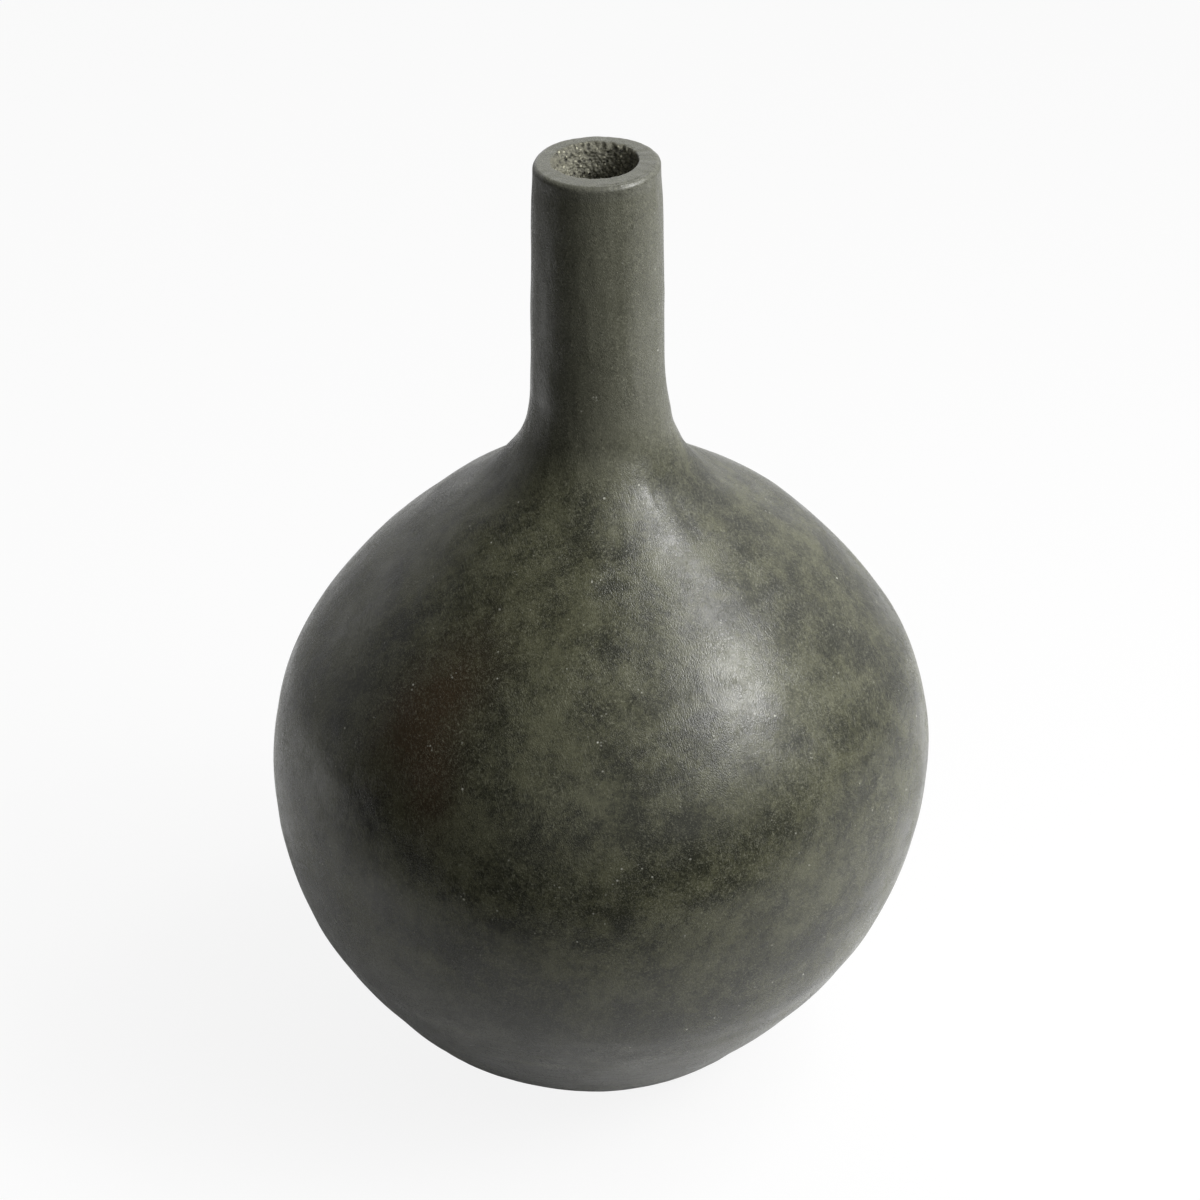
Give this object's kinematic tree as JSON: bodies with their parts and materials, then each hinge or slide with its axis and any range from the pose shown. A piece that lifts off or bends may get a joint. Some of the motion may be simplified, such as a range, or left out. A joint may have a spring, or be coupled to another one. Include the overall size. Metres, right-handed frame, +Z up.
{
  "type": "vase",
  "caption": "Round bottle vase in dark polished plaster: a globe of lapped cast shells, a slim cast neck bedded in a collar and coved at its root, a rough bore and felt pads under a flat foot.",
  "frame": {"origin": "on the table plane, under the middle of the vase, level with the undersides of the felt pads", "axes": "+Z up through the neck and out of the mouth; the form is turned, so +X and +Y are alike; the picture looks along +Y and about thirty degrees down"},
  "size_m": [0.3, 0.2998, 0.447],
  "materials": {
    "polished_plaster": "satin",
    "cast_plaster": "matte",
    "bonding_plaster": "matte",
    "jute_scrim": "matte",
    "felt": "matte"
  },
  "bodies": {
    "root": {"lower_shell": "cast_plaster", "upper_shell": "cast_plaster", "seam_bond": "bonding_plaster", "seam_scrim": "jute_scrim", "neck_tube": "cast_plaster", "neck_cove": "bonding_plaster", "finish_coat": "polished_plaster", "felt_pads": "felt"}
  },
  "joints": []
}
